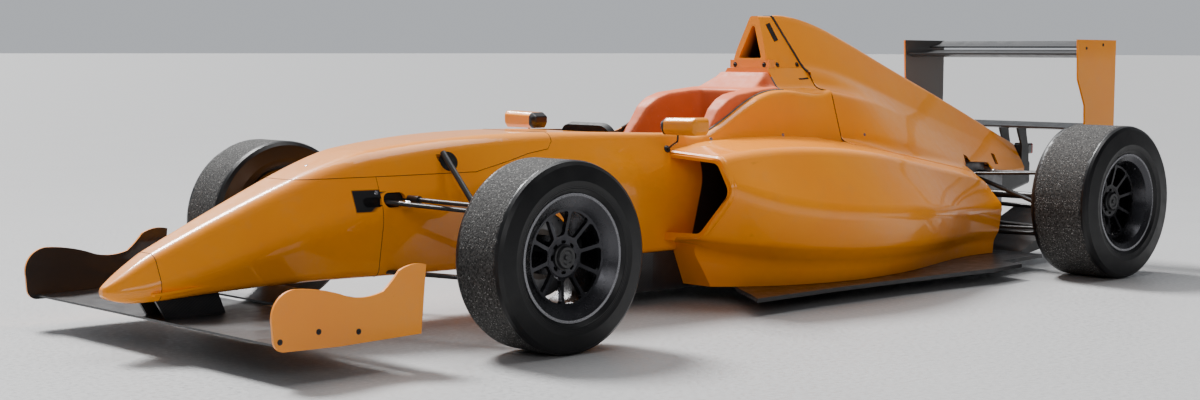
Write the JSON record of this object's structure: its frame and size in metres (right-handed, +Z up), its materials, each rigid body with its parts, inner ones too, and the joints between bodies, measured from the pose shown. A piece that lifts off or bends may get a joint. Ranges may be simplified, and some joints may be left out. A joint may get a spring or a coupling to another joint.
{
  "type": "open wheel racing car",
  "caption": "Open wheel single seater racing car with front and rear wings, side pods, exposed push rod suspension, slick tyres and a roll hoop air intake.",
  "frame": {"origin": "on the ground, midway between nose tip and tail, in the car's plane of symmetry", "axes": "+X forward along the car, +Y to the driver's left, +Z up"},
  "size_m": [4.352, 1.782, 0.9759],
  "materials": {
    "orange_paint": "gloss",
    "carbon": "gloss woven composite",
    "foam": "satin foam skin",
    "black_steel": "satin",
    "machined_alloy": "machined",
    "cast_alloy": "cast",
    "lamp_red": "lens",
    "wheel_black": "satin",
    "slick_tyre": "worn slick",
    "disc_steel": "ground",
    "grip_black": "matte"
  },
  "bodies": {
    "chassis": {"nose_tip": "orange_paint", "nose_cone": "orange_paint", "damper_cover": "orange_paint", "monocoque": "orange_paint", "seat": "carbon", "headrest": "foam", "roll_hoop": "orange_paint", "engine_cover": "orange_paint", "sidepod_left": "orange_paint", "sidepod_right": "orange_paint", "radiators": "machined_alloy", "floor": "carbon", "diffuser": "carbon", "engine": "cast_alloy", "gearbox": "cast_alloy", "crash_structure": "carbon", "rain_light": "lamp_red", "rear_wing_endplates": "orange_paint", "rear_wing_planes": "carbon", "rear_beam_wing": "carbon", "rear_wing_pylons": "carbon", "front_wing_endplates": "orange_paint", "front_wing_planes": "carbon", "front_wing_pylons": "carbon", "front_wishbones": "black_steel", "front_pushrods": "black_steel", "rear_wishbones": "black_steel", "rear_rods": "black_steel", "rear_uprights": "machined_alloy", "driveshafts": "black_steel", "mirrors": "orange_paint", "mirror_stays": "carbon"},
    "steering_wheel": {"steering_wheel": "grip_black"},
    "steering_rack": {"track_rods": "black_steel"},
    "upright_front_left": {"upright_front_left": "machined_alloy"},
    "wheel_front_left": {"rim_front_left": "wheel_black", "tyre_front_left": "slick_tyre", "brake_disc_front_left": "disc_steel"},
    "wheel_rear_left": {"rim_rear_left": "wheel_black", "tyre_rear_left": "slick_tyre", "brake_disc_rear_left": "disc_steel"},
    "upright_front_right": {"upright_front_right": "machined_alloy"},
    "wheel_front_right": {"rim_front_right": "wheel_black", "tyre_front_right": "slick_tyre", "brake_disc_front_right": "disc_steel"},
    "wheel_rear_right": {"rim_rear_right": "wheel_black", "tyre_rear_right": "slick_tyre", "brake_disc_rear_right": "disc_steel"}
  },
  "joints": [
    {"name": "steer_left", "type": "hinge", "parent": "chassis", "child": "upright_front_left", "pos_m": [1.168, 0.59, 0.273], "axis": [0, 0, 1], "range_deg": [-18, 18]},
    {"name": "spin_front_left", "type": "hinge", "parent": "upright_front_left", "child": "wheel_front_left", "pos_m": [1.168, 0.714, 0.273], "axis": [0, 1, 0], "continuous": true},
    {"name": "spin_rear_left", "type": "hinge", "parent": "chassis", "child": "wheel_rear_left", "pos_m": [-1.552, 0.762, 0.285], "axis": [0, 1, 0], "continuous": true},
    {"name": "steer_right", "type": "hinge", "parent": "chassis", "child": "upright_front_right", "pos_m": [1.168, -0.59, 0.273], "axis": [0, 0, 1], "range_deg": [-18, 18]},
    {"name": "spin_front_right", "type": "hinge", "parent": "upright_front_right", "child": "wheel_front_right", "pos_m": [1.168, -0.714, 0.273], "axis": [0, 1, 0], "continuous": true},
    {"name": "spin_rear_right", "type": "hinge", "parent": "chassis", "child": "wheel_rear_right", "pos_m": [-1.552, -0.762, 0.285], "axis": [0, 1, 0], "continuous": true},
    {"name": "steering_wheel_turn", "type": "hinge", "parent": "chassis", "child": "steering_wheel", "pos_m": [0.368, 0, 0.521], "axis": [-0.9397, 0, 0.342], "range_deg": [-180, 180]},
    {"name": "rack_slide", "type": "slide", "parent": "chassis", "child": "steering_rack", "axis": [0, 1, 0], "range_m": [-0.0316, 0.0316]}
  ],
  "couplings": [
    {"joint": "steer_right", "follows": "steer_left", "ratio": 1},
    {"joint": "steering_wheel_turn", "follows": "steer_left", "ratio": 10},
    {"joint": "rack_slide", "follows": "steer_left", "m_per_rad": 0.1}
  ]
}
